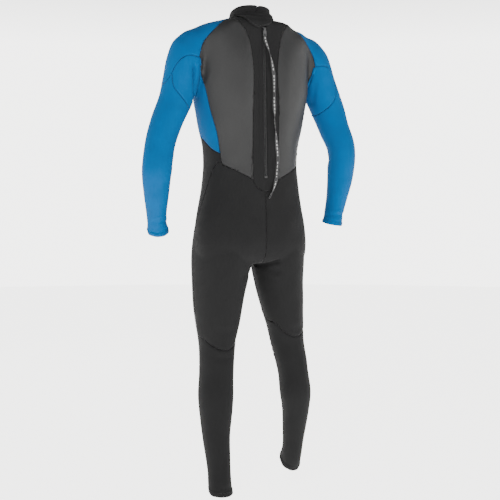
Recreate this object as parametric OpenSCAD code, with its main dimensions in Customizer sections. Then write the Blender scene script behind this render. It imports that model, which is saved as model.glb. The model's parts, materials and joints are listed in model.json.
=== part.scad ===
// Back-zip full wetsuit: 3 mm neoprene panels, a long back zip, a neck flap and a zip leash.
// Front faces -Y, the wearer's left is +X, heights are measured from the neck opening at z = 0.

/* [Neoprene] */
// Thickness of the neoprene panels
wall = 3; // [2:0.5:4]
// Facets round the torso
torso_sides = 36; // [28:4:44]
// Facets round an arm
arm_sides = 20; // [16:4:28]
// Facets round a leg
leg_sides = 24; // [20:4:32]
// Turn of the legs' oval sections, toes out
toe_out = 10; // [0:1:15]

/* [Hems] */
// Height of the turned band at each wrist
wrist_hem_h = 12; // [8:1:20]
// Height of the turned band at each ankle
ankle_hem_h = 15; // [8:1:25]

/* [Collar] */
// Height of the collar's top edge at the back of the neck
collar_top = 18; // [14:1:24]
// Slope of the collar's top edge down towards the throat
collar_slope = 10; // [0:1:12]
// Height of the seam under the collar
collar_seam = -15; // [-18:1:-10]
// Upper edge of the flap at the back of the neck
flap_top = 0; // [-4:1:6]
// Lowest point of the flap, over the top of the zip
flap_tip = -47; // [-48:1:-40]
// Half width of the flap
flap_half_w = 51; // [46:1:53]
// Thickness of the flap
flap_t = 2.6; // [2:0.2:3]

/* [Zip] */
// Height of the upper end of the zip
zip_top = -50; // [-52:1:-50]
// Height of the lower end of the zip
zip_bottom = -475; // [-478:1:-440]
// Distance of the zip's upper end behind the neck's axis
zip_top_y = 91; // [90:0.5:92]
// Distance of the zip's lower end behind the neck's axis
zip_bottom_y = 105; // [103:0.5:105]
// Half width of the slot between the panel edges
slot_half_w = 6; // [5.8:0.1:7]
// Distance from one tooth to the next
tooth_pitch = 5; // [4:0.5:8]
// Length of the slider
slider_l = 14; // [12:1:16]
// Length of the pull tab from its pin to its end
pull_l = 22; // [18:1:26]

/* [Leash] */
// Width of the flat leash
leash_w = 10; // [8:1:12]
// Thickness of the flat leash
leash_t = 2; // [1.5:0.25:3]

/* [Hidden] */

far = 500;          // reach of the cutting prisms
open_end = 6;       // how far the hollow runs past each open end
roundness = 0.86;   // power that squares the torso's sections a little

knit = "#38383a";
skin = "#55565a";
blue = "#0a7abf";
trim_black = "#141416";

// The zip is one straight line in the plane x = 0.
zip_drop = zip_top - zip_bottom;
zip_lean = atan((zip_bottom_y - zip_top_y) / zip_drop);
zip_l = norm([zip_drop, zip_bottom_y - zip_top_y]);
function zip_y(z) = zip_top_y + (zip_top - z) * tan(zip_lean);

// Depths under the panels' outer face, in the zip's own frame (y outward, z up along the zip).
tape_face = -wall - 0.2;
tape_t = 0.8;
tape_w = 15;
teeth_bottom = tape_face;
teeth_top = -0.9;
tooth_in = 0.7;
tooth_out = 3.1;
plate_in = teeth_top + 0.3;
plate_t = 1.6;
pin_d = 1.8;
pin_y = plate_in + plate_t + 2.2;
pin_z = -4;
slider_w = 10;

// Torso stations from the collar down: height, half width, depth behind, depth in front.
TORSO = [
  [  18,  56,  50,  58],
  [   0,  57,  56,  60],
  [ -16,  64,  66,  62],
  [ -24, 100,  74,  60],
  [ -32, 134,  82,  62],
  [ -46, 164,  91,  70],
  [ -75, 180,  98,  82],
  [-110, 182, 106,  94],
  [-170, 176, 114, 108],
  [-240, 170, 117, 112],
  [-300, 160, 113, 108],
  [-390, 141, 107, 102],
  [-434, 138, 105, 102],
  [-495, 145, 106, 106],
  [-551, 154, 109, 110],
  [-612, 165, 113, 112],
  [-680, 170, 110, 108],
  [-722, 166,  98,  98],
  [-738, 150,  76,  76]];

// Limb stations: x, y, z of the centre, half width, half depth. The right limbs are given
// with x positive too, and are mirrored.
ARM_LEFT = [
  [170,   4,  -64, 12, 10],
  [174,   4,  -68, 32, 30],
  [180,   4,  -82, 44, 46],
  [189,   4, -106, 51, 57],
  [203,   4, -150, 54, 60],
  [218,   4, -205, 50, 56],
  [232,   4, -252, 47, 52],
  [261,   8, -319, 44, 48],
  [284,  15, -386, 42, 44],
  [295,  20, -452, 41, 43],
  [292,   6, -519, 35, 37],
  [283, -15, -586, 28, 30],
  [274, -30, -626, 28, 29]];
ARM_RIGHT = [
  [170,   4,  -64, 12, 10],
  [174,   4,  -68, 32, 30],
  [180,   4,  -82, 44, 46],
  [190,   4, -106, 50, 57],
  [208,   4, -150, 53, 60],
  [230,   6, -205, 51, 56],
  [250,  10, -252, 49, 52],
  [268,  22, -309, 45, 48],
  [284,  42, -382, 41, 43],
  [284,  36, -456, 39, 41],
  [276,  28, -529, 31, 34],
  [268,  22, -578, 28, 29],
  [264,  22, -606, 28, 28]];
LEG_LEFT = [
  [ 80,  -6, -560, 60,  90],
  [ 85,  -6, -620, 74, 100],
  [ 89,  -6, -690, 80, 102],
  [ 92,  -8, -740, 78,  97],
  [ 96, -10, -790, 73,  90],
  [ 99, -10, -840, 67,  82],
  [100, -10, -890, 60,  74],
  [102,  -8, -940, 52,  63],
  [108,   0,-1030, 47,  57],
  [113,   6,-1100, 48,  57],
  [116,  14,-1160, 44,  52],
  [118,  24,-1220, 37,  44],
  [119,  36,-1280, 33,  38],
  [119,  48,-1335, 31,  35],
  [118,  54,-1370, 31,  34]];
LEG_RIGHT = [
  [ 80,  -6, -560, 60,  90],
  [ 85,  -6, -620, 74, 100],
  [ 89,  -4, -690, 78, 101],
  [ 92,  -2, -740, 75,  95],
  [ 97,   0, -790, 70,  87],
  [104,   2, -840, 63,  78],
  [112,   3, -890, 56,  70],
  [119,   3, -940, 50,  60],
  [134,  12,-1030, 45,  55],
  [143,  15,-1100, 45,  54],
  [148,   6,-1160, 40,  48],
  [150,  -6,-1220, 34,  41],
  [152, -20,-1280, 29,  35],
  [153, -34,-1320, 28,  32],
  [153, -38,-1334, 28,  31]];

// Leash route, from the pull's end to its free end.
LEASH = [
  [  0, 96.2, -78.4],
  [  0,  97,  -84],
  [ -3,  99,  -96],
  [ -8, 102, -112],
  [-14, 105, -135],
  [-19, 107, -160],
  [-23, 108, -190],
  [-24, 108, -225],
  [-24, 108, -260],
  [-25, 108, -300],
  [-28, 108, -340],
  [-32, 108, -380],
  [-35, 109, -415],
  [-33, 109, -450],
  [-28, 109, -485],
  [-18, 109, -512],
  [ -8, 109, -532]];

// Seams seen from behind or in front: x and z, for the wearer's left side.
GREY_INNER = [[84, -24], [60, -58], [46, -98], [40, -135], [40, -478]];
GREY_LOWER = [[40, -478], [84, -456], [118, -437]];
GREY_OUTER = [[118, -437], [128, -370], [146, -300], [161, -232], [173, -183], [184, -143],
  [174, -106], [146, -68], [100, -30], [84, -24]];
CHEST_OUTER = [[138, -345], [150, -290], [160, -225], [170, -170], [160, -128], [132, -84],
  [90, -44], [62, -24]];
YOKE_LOWER = [[184, -143], [225, -141], [248, -166], [257, -188], [270, -213], [330, -232]];
GUSSET_LOWER = [[257, -188], [255, -226], [238, -252], [220, -270], [190, -300]];
ARMPIT_Z = -258;
ARMPIT_X = 176;
ARM_SIDE = [[ARMPIT_X, ARMPIT_Z], [196, -320], [215, -420], [215, -700]];

// Seams seen from the side: y and z.
SIDE_LOWER = [[-150, -310], [-13, -361], [50, -402], [150, -420]];
SIDE_SEAM = [[150, -430], [45, -437], [25, -485], [0, -556], [-20, -601], [-22, -700], [-22, -745]];
ABDOMEN_LOWER = -735;
KNEE_PAD_TOP = -862;
KNEE_PAD_LOW = -1012;
KNEE_BACK = [[0, -918], [50, -938], [105, -948], [160, -938], [230, -905]];
seam_ahead = 12;    // how far the leg seams lie in front of the leg's centre line

function unit(v) = v / norm(v);
function soft(c) = sign(c) * pow(abs(c), roundness);
function place(s) = [s[0], s[1], s[2]];

// A closed skin through rings that have the same number of points.
module loft(rings) {
  n = len(rings[0]);
  last = len(rings) - 1;
  points = [for (r = rings) each r];
  top = [[for (j = [n - 1 : -1 : 0]) j]];
  bottom = [[for (j = [0 : n - 1]) last * n + j]];
  walls = [for (i = [0 : last - 1]) for (j = [0 : n - 1]) let (k = (j + 1) % n)
    each [[i * n + j, (i + 1) * n + k, (i + 1) * n + j], [i * n + j, i * n + k, (i + 1) * n + k]]];
  polyhedron(points, concat(top, walls, bottom), convexity = 8);
}

// How fast column k of the torso table grows with height at station i.
function torso_slope(i, k) = let (a = max(i - 1, 0), b = min(i + 1, len(TORSO) - 1))
  (TORSO[b][k] - TORSO[a][k]) / (TORSO[b][0] - TORSO[a][0]);

// Depth of the furrow along the spine: the zip lies straight in it.
function spine(z, back) = z > zip_bottom - 30 ? min(back, zip_y(z)) : back - 5;
function furrow(z, back, side_y, across) = across < 0.12 ? spine(z, back)
  : across < 0.3 ? spine(z, back) + 0.6 * (side_y - spine(z, back)) : side_y;

// One ring of the torso, moved inward by inset.
function torso_ring(i, inset) = [for (j = [0 : torso_sides - 1])
  let (angle = 360 * j / torso_sides, c = soft(cos(angle)), s = soft(sin(angle)),
    behind = s >= 0, depth = TORSO[i][behind ? 2 : 3], z = TORSO[i][0],
    tilt = torso_slope(i, 1) * c * c + torso_slope(i, behind ? 2 : 3) * s * s,
    run = inset / sqrt(1 + tilt * tilt),
    y = behind ? furrow(z, depth, s * depth, abs(c)) - run * s : s * (depth - run))
  [c * (TORSO[i][1] - run), y, z + tilt * run]];

module torso(inset) {
  rings = [for (i = [0 : len(TORSO) - 1]) torso_ring(i, inset)];
  above = [for (p = rings[0]) p + [0, 0, 3 * open_end]];
  loft(concat([above], rings));
}

// Direction of a limb at station i, and how fast it widens there.
function heading(S, i) = let (a = max(i - 1, 0), b = min(i + 1, len(S) - 1))
  unit(place(S[b]) - place(S[a]));
function widening(S, i) = let (a = max(i - 1, 0), b = min(i + 1, len(S) - 1))
  (S[b][3] - S[a][3]) / norm(place(S[b]) - place(S[a]));

// One ring of a limb, moved inward by inset and slid along the limb by along.
function limb_ring(S, i, inset, turn, n, along = 0) =
  let (d = heading(S, i), across = unit(cross([0, 1, 0], -d)), back = cross(-d, across),
    w = widening(S, i), run = inset / sqrt(1 + w * w), at = place(S[i]) + d * (w * run + along))
  [for (j = [0 : n - 1]) let (angle = 360 * j / n, u = cos(angle) * max(S[i][3] - run, 1),
      v = sin(angle) * max(S[i][4] - run, 1))
    at + across * (u * cos(turn) - v * sin(turn)) + back * (u * sin(turn) + v * cos(turn))];

module limb(S, inset, turn, n) {
  last = len(S) - 1;
  rings = [for (i = [0 : last]) limb_ring(S, i, inset, turn, n)];
  past = limb_ring(S, last, inset, turn, n, open_end);
  loft(inset > 0 ? concat(rings, [past]) : rings);
}

// The turned band over the last h millimetres of a limb.
module band(S, h, turn, n) {
  last = len(S) - 1;
  lining = [for (s = S) [s[0], s[1], s[2], s[3] - wall, s[4] - wall]];
  rings = [limb_ring(S, last, 0, turn, n, -h), limb_ring(S, last, 0, turn, n),
    limb_ring(lining, last, 0, turn, n), limb_ring(lining, last, 0, turn, n, -h)];
  polyhedron([for (r = rings) each r], [for (i = [0 : 3]) for (j = [0 : n - 1])
    let (k = (j + 1) % n, m = (i + 1) % 4)
      each [[i * n + j, m * n + k, m * n + j], [i * n + j, i * n + k, m * n + k]]], convexity = 4);
}

// A fat sleeve round the last h millimetres of a limb, to keep clear for its band.
module limb_end(S, h, turn, n) {
  last = len(S) - 1;
  loft([limb_ring(S, last, -9, turn, n, -h), limb_ring(S, last, -9, turn, n, open_end)]);
}

module form(inset) {
  intersection() {
    torso(inset);
    translate([0, TORSO[0][2], collar_top]) rotate([collar_slope, 0, 0])
      translate([-far, -far, -3 * far])
        cube([2 * far, 2 * far, 3 * far + (inset > 0 ? 3 * open_end : 0)]);
  }
  limb(ARM_LEFT, inset, 0, arm_sides);
  mirror([1, 0, 0]) limb(ARM_RIGHT, inset, 0, arm_sides);
  limb(LEG_LEFT, inset, toe_out, leg_sides);
  mirror([1, 0, 0]) limb(LEG_RIGHT, inset, toe_out, leg_sides);
}

module shell() {
  difference() {
    form(0);
    form(wall);
  }
}

// Prisms for cutting the shell: an outline in x and z, or in y and z.
module seen_from_behind(outline) {
  rotate([90, 0, 0]) linear_extrude(2 * far, center = true) polygon(outline);
}
module seen_from_side(outline) {
  rotate([90, 0, 90]) linear_extrude(2 * far, center = true) polygon(outline);
}
module behind(y) {
  translate([-far, y, -3 * far]) cube([2 * far, far, 4 * far]);
}
module between(low, high) {
  translate([-far, -far, low]) cube([2 * far, 2 * far, high - low]);
}
module left_half() {
  translate([0, -far, -3 * far]) cube([far, 2 * far, 4 * far]);
}
// Does the same to the wearer's left (side = 1) or right (side = -1).
module on_side(side) {
  mirror([side < 0 ? 1 : 0, 0, 0]) children();
}
// The part of the shell inside the first child and outside the others, as one mesh.
module panel() {
  resize([0, 0, 0]) difference() {
    intersection() {
      shell();
      children(0);
    }
    if ($children > 1) children([1 : $children - 1]);
  }
}

module zip_slot() {
  translate([-slot_half_w, 10, zip_bottom]) cube([2 * slot_half_w, far, far]);
}

// Regions of the suit.
module grey_region() {
  intersection() {
    seen_from_behind(concat(GREY_INNER, GREY_LOWER, GREY_OUTER));
    behind(0);
  }
}
module chest_region() {
  intersection() {
    seen_from_behind(concat([[0, -352], [80, -350]], CHEST_OUTER, [[0, -24], [-62, -24]],
      [for (i = [len(CHEST_OUTER) - 1 : -1 : 0]) [-CHEST_OUTER[i][0], CHEST_OUTER[i][1]]],
      [[-80, -350]]));
    mirror([0, 1, 0]) behind(0);
  }
}
module centre_region() {
  edge = concat([[70, collar_seam]], GREY_INNER, [[32, -496], [18, -508]]);
  intersection() {
    seen_from_behind(concat(edge, [[0, -512]],
      [for (i = [len(edge) - 1 : -1 : 0]) [-edge[i][0], edge[i][1]]]));
    behind(0);
  }
}
module arm_region() {
  seen_from_behind(concat([[184, -143], [ARMPIT_X, -200]], ARM_SIDE, [[far, -700], [far, -143]]));
}
module yoke_region() {
  seen_from_behind(concat([[0, collar_seam], [0, -143]], YOKE_LOWER, [[far, -232], [far, collar_seam]]));
}
module gusset_region() {
  seen_from_behind(concat([[184, -143], [225, -141], [248, -166]], GUSSET_LOWER,
    [[ARMPIT_X, ARMPIT_Z], [ARMPIT_X, -200]]));
}
module sleeve_region() {
  seen_from_behind(concat([[196, -320], [215, -420], [215, -700], [far, -700], [far, -232],
    [330, -232], [270, -213]], GUSSET_LOWER));
}
module above_side_lower() {
  seen_from_side(concat(SIDE_LOWER, [[150, far], [-150, far]]));
}
module leg_back_region(S) {
  seam = concat(SIDE_SEAM, [for (s = S) if (s[2] < -745) [s[1] - seam_ahead, s[2]]]);
  seen_from_side(concat(seam, [[S[len(S) - 1][1], -3 * far], [far, -3 * far], [far, -430]]));
}
module above_knee_back() {
  seen_from_behind(concat(KNEE_BACK, [[230, far], [0, far]]));
}

module collar() {
  color(knit) panel() {
    between(collar_seam, 2 * far);
    zip_slot();
  }
}

// A thin layer over the torso, from one stand-off to another, inside an outline.
module neck_layer(low, high, outline) {
  resize([0, 0, 0]) intersection() {
    difference() {
      torso(-high);
      torso(-low);
    }
    intersection() {
      seen_from_behind(outline);
      behind(10);
    }
  }
}
flap_gap = 2.4;
patch_t = 0.9;
HOOK_OUTLINE = [[12, -5], [30, -7], [44, -13], [40, -17], [12, -28]];
module collar_flap() {
  color(knit) neck_layer(flap_gap, flap_gap + flap_t, [[-flap_half_w, flap_top],
    [0, flap_top], [28, flap_top - 3], [flap_half_w, -11], [flap_half_w + 4, -15],
    [flap_half_w - 4, -22], [10, flap_tip + 1], [0, flap_tip], [-10, flap_tip + 2],
    [8 - flap_half_w, -26], [-flap_half_w, -13]]);
}
module collar_hook_patch() {
  color(trim_black) neck_layer(flap_gap - patch_t, flap_gap, HOOK_OUTLINE);
}
module collar_loop_patch() {
  color(trim_black) neck_layer(0, patch_t, HOOK_OUTLINE);
}

module centre_back_panel() {
  color(knit) panel() {
    centre_region();
    between(collar_seam, far);
    zip_slot();
  }
}
module back_panel(side) {
  color(skin) panel() on_side(side) grey_region();
}
module chest_panel() {
  color(skin) panel() chest_region();
}
module shoulder(side) {
  color(blue) panel() {
    on_side(side) yoke_region();
    on_side(side) grey_region();
    chest_region();
    centre_region();
  }
}
module sleeve(side, S) {
  color(blue) panel() {
    on_side(side) sleeve_region();
    on_side(side) limb_end(S, wrist_hem_h, 0, arm_sides);
  }
}
module wrist_hem(side, S) {
  color(blue) on_side(side) band(S, wrist_hem_h, 0, arm_sides);
}
module gusset(side) {
  color(blue) panel() {
    on_side(side) gusset_region();
    on_side(side) yoke_region();
  }
}
module side_panel(side) {
  color(blue) panel() {
    on_side(side) intersection() {
      above_side_lower();
      left_half();
      between(-far, -143);
    }
    on_side(side) arm_region();
    on_side(side) yoke_region();
    on_side(side) gusset_region();
    on_side(side) grey_region();
    chest_region();
    centre_region();
  }
}
module abdomen_panel() {
  color(knit) panel() {
    between(ABDOMEN_LOWER, -300);
    above_side_lower();
    chest_region();
    grey_region();
    on_side(-1) grey_region();
    centre_region();
    on_side(1) arm_region();
    on_side(-1) arm_region();
    leg_back_region(LEG_LEFT);
  }
}
module seat(side, S) {
  color(knit) panel() {
    on_side(side) intersection() {
      leg_back_region(S);
      above_knee_back();
      left_half();
    }
    on_side(side) grey_region();
    on_side(side) arm_region();
    centre_region();
  }
}
module leg_front(side, S, low, high) {
  color(knit) panel() {
    on_side(side) intersection() {
      between(low, high);
      left_half();
    }
    on_side(side) leg_back_region(S);
    on_side(side) limb_end(S, ankle_hem_h, toe_out, leg_sides);
  }
}
module calf(side, S) {
  color(knit) panel() {
    on_side(side) intersection() {
      leg_back_region(S);
      left_half();
      between(-3 * far, KNEE_PAD_TOP);
    }
    on_side(side) above_knee_back();
    on_side(side) limb_end(S, ankle_hem_h, toe_out, leg_sides);
  }
}
module ankle_hem(side, S) {
  color(knit) on_side(side) band(S, ankle_hem_h, toe_out, leg_sides);
}

// Puts its children in the zip's own frame.
module on_zip() {
  translate([0, zip_top_y, zip_top]) rotate([zip_lean, 0, 0]) children();
}
module zip_tape(side) {
  color(trim_black) on_zip() on_side(side)
    translate([tooth_in, tape_face - tape_t, -zip_l]) cube([tape_w, tape_t, zip_l]);
}
teeth_count = floor((zip_l - 16) / tooth_pitch);
module zip_teeth(side) {
  tooth_h = 0.5 * tooth_pitch;
  comb = [for (i = [0 : teeth_count - 1]) let (z = -8 - i * tooth_pitch)
    each [[tooth_in, z], [tooth_in, z - tooth_h], [tooth_out - 1.2, z - tooth_h],
      [tooth_out - 1.2, z - tooth_pitch]]];
  low = -8 - teeth_count * tooth_pitch;
  color(trim_black) on_zip() on_side(side) translate([0, teeth_top, 0]) rotate([90, 0, 0])
    linear_extrude(teeth_top - teeth_bottom) polygon(concat(comb, [[tooth_out, low], [tooth_out, -8]]));
}
module zip_top_stops() {
  color(trim_black) on_zip() for (side = [1, -1]) on_side(side)
    translate([tooth_in, teeth_bottom, -6]) cube([tooth_out - tooth_in, teeth_top - teeth_bottom, 4]);
}
module zip_bottom_stop() {
  color(trim_black) on_zip()
    translate([-4.5, teeth_bottom, -zip_l + 0.5]) cube([9, teeth_top - teeth_bottom + 0.4, 6]);
}
// The guard strip behind the zip, sewn along its left edge.
module zip_backing() {
  color(knit) on_zip() translate([0, 0, -zip_l + 4]) linear_extrude(zip_l - 10)
    polygon([[-20, -9], [20, -9], [28, -4.2], [28, -2.6], [19, -7.4], [-20, -7.4]]);
}

// The slider runs on both rows of teeth. Its web passes between them.
module zip_slider() {
  lug_x = 3.2;
  color("#3a3b3e") on_zip() translate([0, 0, -slider_l - 1]) {
    translate([-slider_w / 2, plate_in, 0]) cube([slider_w, plate_t, slider_l]);
    translate([-slider_w / 2, tape_face - tape_t - 0.4 - plate_t, 0])
      cube([slider_w, plate_t, slider_l]);
    translate([-0.4, tape_face - tape_t - 0.6, slider_l - 5])
      cube([0.8, plate_in - tape_face + tape_t + 0.8, 5]);
    for (side = [1, -1]) {
      translate([side * (slider_w / 2 - 0.6) - 0.6, tape_face + 0.5, 0])
        cube([1.2, plate_in - tape_face, slider_l]);
      translate([side * lug_x - 0.7, plate_in + plate_t - 0.1, slider_l + pin_z - 2])
        cube([1.4, 3.6, 4]);
    }
    translate([-lug_x, pin_y, slider_l + pin_z]) rotate([0, 90, 0])
      cylinder(d = pin_d, h = 2 * lug_x, $fn = 32);
  }
}
// The pull tab hangs from the slider's pin and has a slot for the leash.
module zip_pull() {
  tab_t = 1.6;
  color("#2a2b2d") on_zip() translate([0, pin_y, -1 + pin_z]) difference() {
    union() {
      translate([-2.2, 0, 0]) rotate([0, 90, 0]) cylinder(d = pin_d + 2, h = 4.4, $fn = 40);
      translate([-2.2, 0.3, -7]) cube([4.4, tab_t, 7]);
      translate([-5, 0.3, -pull_l]) cube([10, tab_t, pull_l - 6]);
    }
    translate([-3, 0, 0]) rotate([0, 90, 0]) cylinder(d = pin_d + 0.4, h = 6, $fn = 40);
    translate([-3.5, -1, -pull_l + 2.5]) cube([7, 4, 3]);
  }
}
// A flat webbing swept along its route: eight sides, thin across its face.
module zip_leash() {
  last = len(LEASH) - 1;
  color(trim_black) loft([for (i = [0 : last])
    let (d = unit(LEASH[min(i + 1, last)] - LEASH[max(i - 1, 0)]),
      across = unit(cross([0, 1, 0], -d)), out = cross(-d, across))
    [for (j = [0 : 7]) let (angle = 45 * j + 22.5)
      LEASH[i] + across * (cos(angle) * leash_w / 2 / cos(22.5))
        + out * (sin(angle) * leash_t / 2 / cos(22.5))]]);
}

collar();
collar_flap();
collar_hook_patch();
collar_loop_patch();
centre_back_panel();
back_panel(1);  // back_panel_left
back_panel(-1);  // back_panel_right
chest_panel();
shoulder(1);  // shoulder_left
shoulder(-1);  // shoulder_right
sleeve(1, ARM_LEFT);  // sleeve_left
sleeve(-1, ARM_RIGHT);  // sleeve_right
gusset(1);  // gusset_left
gusset(-1);  // gusset_right
side_panel(1);  // side_panel_left
side_panel(-1);  // side_panel_right
abdomen_panel();
seat(1, LEG_LEFT);  // seat_left
seat(-1, LEG_RIGHT);  // seat_right
leg_front(1, LEG_LEFT, KNEE_PAD_TOP, ABDOMEN_LOWER);  // thigh_front_left
leg_front(-1, LEG_RIGHT, KNEE_PAD_TOP, ABDOMEN_LOWER);  // thigh_front_right
leg_front(1, LEG_LEFT, KNEE_PAD_LOW, KNEE_PAD_TOP);  // knee_pad_left
leg_front(-1, LEG_RIGHT, KNEE_PAD_LOW, KNEE_PAD_TOP);  // knee_pad_right
leg_front(1, LEG_LEFT, -3 * far, KNEE_PAD_LOW);  // shin_left
leg_front(-1, LEG_RIGHT, -3 * far, KNEE_PAD_LOW);  // shin_right
calf(1, LEG_LEFT);  // calf_left
calf(-1, LEG_RIGHT);  // calf_right
wrist_hem(1, ARM_LEFT);  // wrist_hem_left
wrist_hem(-1, ARM_RIGHT);  // wrist_hem_right
ankle_hem(1, LEG_LEFT);  // ankle_hem_left
ankle_hem(-1, LEG_RIGHT);  // ankle_hem_right
zip_tape(1);  // zip_tape_left
zip_tape(-1);  // zip_tape_right
zip_teeth(1);  // zip_teeth_left
zip_teeth(-1);  // zip_teeth_right
zip_top_stops();
zip_bottom_stop();
zip_backing();
zip_slider();
zip_pull();
zip_leash();
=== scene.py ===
"""Full wetsuit: smooth sewn neoprene panels, detailed zip and leash, built round the CAD frame.

The body form comes from the same stations as the CAD model, in millimetres. One closed
form is remeshed, creased, cut along the seams and turned into panels 3 mm thick.
"""
import json
import math

import bpy
import numpy as np
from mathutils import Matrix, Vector

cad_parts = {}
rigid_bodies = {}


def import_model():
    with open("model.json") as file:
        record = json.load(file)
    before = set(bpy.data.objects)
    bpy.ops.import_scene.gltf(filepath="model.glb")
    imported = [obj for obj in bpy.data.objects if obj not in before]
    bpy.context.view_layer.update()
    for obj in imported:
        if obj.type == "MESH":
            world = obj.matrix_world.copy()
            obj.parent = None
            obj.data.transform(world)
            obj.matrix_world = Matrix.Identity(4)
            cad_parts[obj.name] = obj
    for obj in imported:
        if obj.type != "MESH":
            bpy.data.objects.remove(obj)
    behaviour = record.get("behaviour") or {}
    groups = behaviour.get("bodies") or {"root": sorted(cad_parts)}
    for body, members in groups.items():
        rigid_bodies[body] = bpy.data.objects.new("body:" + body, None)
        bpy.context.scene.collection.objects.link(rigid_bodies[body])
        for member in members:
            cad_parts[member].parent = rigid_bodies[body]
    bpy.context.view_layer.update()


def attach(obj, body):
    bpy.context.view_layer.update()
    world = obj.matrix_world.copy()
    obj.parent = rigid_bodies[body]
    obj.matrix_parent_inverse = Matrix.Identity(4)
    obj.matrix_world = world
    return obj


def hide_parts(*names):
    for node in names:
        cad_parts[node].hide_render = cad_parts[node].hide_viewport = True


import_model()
MM = 0.001
rng = np.random.default_rng(7)

# ---- sizes, in millimetres
WALL = 2.8              # neoprene thickness
FLAP_WALL = 2.4
VOXEL = 4.4             # mesh size of the body form
SEAM_HALF = 2.1         # half width of the dip along a seam
SEAM_DEPTH = 1.2
THREAD = 0.3            # radius of a stitch's thread
TOOTH_PITCH = 3.4
COLLAR_TOP, COLLAR_SLOPE, COLLAR_SEAM = 18, 10, -15
ZIP_TOP, ZIP_BOTTOM = (91, -50), (105, -475)    # y and z of the zip's ends
SLOT_HALF, COLLAR_SLIT = 5.7, 1.4
ZIP_LEAN = math.atan2(ZIP_BOTTOM[0] - ZIP_TOP[0], ZIP_TOP[1] - ZIP_BOTTOM[1])
WRIST_HEM, ANKLE_HEM, TOE_OUT = 12, 15, math.radians(10)
FLOOR_Z = -1392
SQUARENESS = 0.86       # power of the torso's rounded section
FURROW = (72, 8)        # x where the spine's furrow starts and is full
STATION_STEP, SEAM_STEP = 6, 8
SHOULDER, SHOULDER_REACH = (170, 4, -66), 50
CROTCH, CROTCH_REACH = (0, 10, -738), 55
HOLD = (74, 48)         # x where the back starts to follow the zip's line and follows it fully
WAVES, WAVE_DEPTH = 26, 0.16    # faint unevenness of the cloth
FLAP_LIFT, FLAP_LOW_LIFT, FLAP_TIP_LIFT, SLIDER_LIFT = 3.2, 1.9, 2.0, 4.5
STITCH, HEM_STITCH, FLAP_STITCH = (1.7, 3.4, 0.35), (1.2, 3.4, 0.05), (0.7, 3.0, 0.05)
LEASH_W, LEASH_T = 10, 1.7
SIDES = (("left", 1), ("right", -1))

# Torso stations: height, half width, depth behind, depth in front.
TORSO = [
    [40, 55, 49, 57], [18, 56, 50, 58], [0, 57, 56, 60], [-16, 64, 66, 62],
    [-24, 100, 74, 60], [-29, 134, 82, 62], [-39, 164, 91, 70], [-70, 180, 98, 82],
    [-110, 182, 106, 94], [-170, 176, 114, 108], [-240, 170, 117, 112],
    [-300, 160, 113, 108], [-390, 141, 107, 102], [-434, 138, 105, 102],
    [-495, 145, 106, 106], [-551, 154, 109, 110], [-612, 165, 113, 112],
    [-668, 170, 111, 108], [-700, 166, 99, 98], [-716, 150, 76, 76]]
# Limb stations: x, y, z of the centre, half width, half depth.
ARM_LEFT = [
    [170, 4, -64, 12, 10], [174, 4, -68, 32, 30], [180, 4, -82, 44, 46],
    [189, 4, -106, 51, 57], [203, 4, -150, 54, 60], [218, 4, -205, 50, 56],
    [232, 4, -252, 47, 52], [261, 8, -319, 44, 48], [284, 15, -386, 42, 44],
    [295, 20, -452, 41, 43], [292, 6, -519, 35, 37], [283, -15, -586, 28, 30],
    [274, -30, -626, 28, 29]]
ARM_RIGHT = [
    [170, 4, -64, 12, 10], [174, 4, -68, 32, 30], [180, 4, -82, 44, 46],
    [190, 4, -106, 50, 57], [208, 4, -150, 53, 60], [230, 6, -205, 51, 56],
    [250, 10, -252, 49, 52], [268, 22, -309, 45, 48], [284, 42, -382, 41, 43],
    [284, 36, -456, 39, 41], [276, 28, -529, 31, 34], [268, 22, -578, 28, 29],
    [264, 22, -606, 28, 28]]
LEG_LEFT = [
    [80, -6, -560, 60, 90], [85, -6, -620, 74, 100], [89, -6, -690, 80, 102],
    [92, -8, -740, 78, 97], [96, -10, -790, 73, 90], [99, -10, -840, 67, 82],
    [100, -10, -890, 60, 74], [102, -8, -940, 52, 63], [108, 0, -1030, 47, 57],
    [113, 6, -1100, 48, 57], [116, 14, -1160, 44, 52], [118, 24, -1220, 37, 44],
    [119, 36, -1280, 33, 38], [119, 48, -1335, 31, 35], [118, 54, -1370, 31, 34]]
LEG_RIGHT = [
    [80, -6, -560, 60, 90], [85, -6, -620, 74, 100], [89, -4, -690, 78, 101],
    [92, -2, -740, 75, 95], [97, 0, -790, 70, 87], [104, 2, -840, 63, 78],
    [112, 3, -890, 56, 70], [119, 3, -940, 50, 60], [134, 12, -1030, 45, 55],
    [143, 15, -1100, 45, 54], [148, 6, -1160, 40, 48], [150, -6, -1220, 34, 41],
    [152, -20, -1280, 29, 35], [153, -34, -1320, 28, 32], [153, -38, -1334, 28, 31]]
LEASH = [
    [0, 96.2, -78.4], [0, 97, -84], [-3, 99, -96], [-8, 102, -112], [-14, 105, -135],
    [-19, 107, -160], [-23, 108, -190], [-24, 108, -225], [-24, 108, -260],
    [-25, 108, -300], [-28, 108, -340], [-32, 108, -380], [-35, 109, -415],
    [-33, 109, -450], [-28, 109, -485], [-18, 109, -512], [-8, 109, -532]]

# Limbs: the hem's name, stations, side, turn of the section, hem height, least x of its end.
LIMBS = [("wrist_hem_left", ARM_LEFT, 1, 0, WRIST_HEM, 215),
         ("wrist_hem_right", ARM_RIGHT, -1, 0, WRIST_HEM, 215),
         ("ankle_hem_left", LEG_LEFT, 1, TOE_OUT, ANKLE_HEM, 20),
         ("ankle_hem_right", LEG_RIGHT, -1, TOE_OUT, ANKLE_HEM, 20)]

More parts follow.
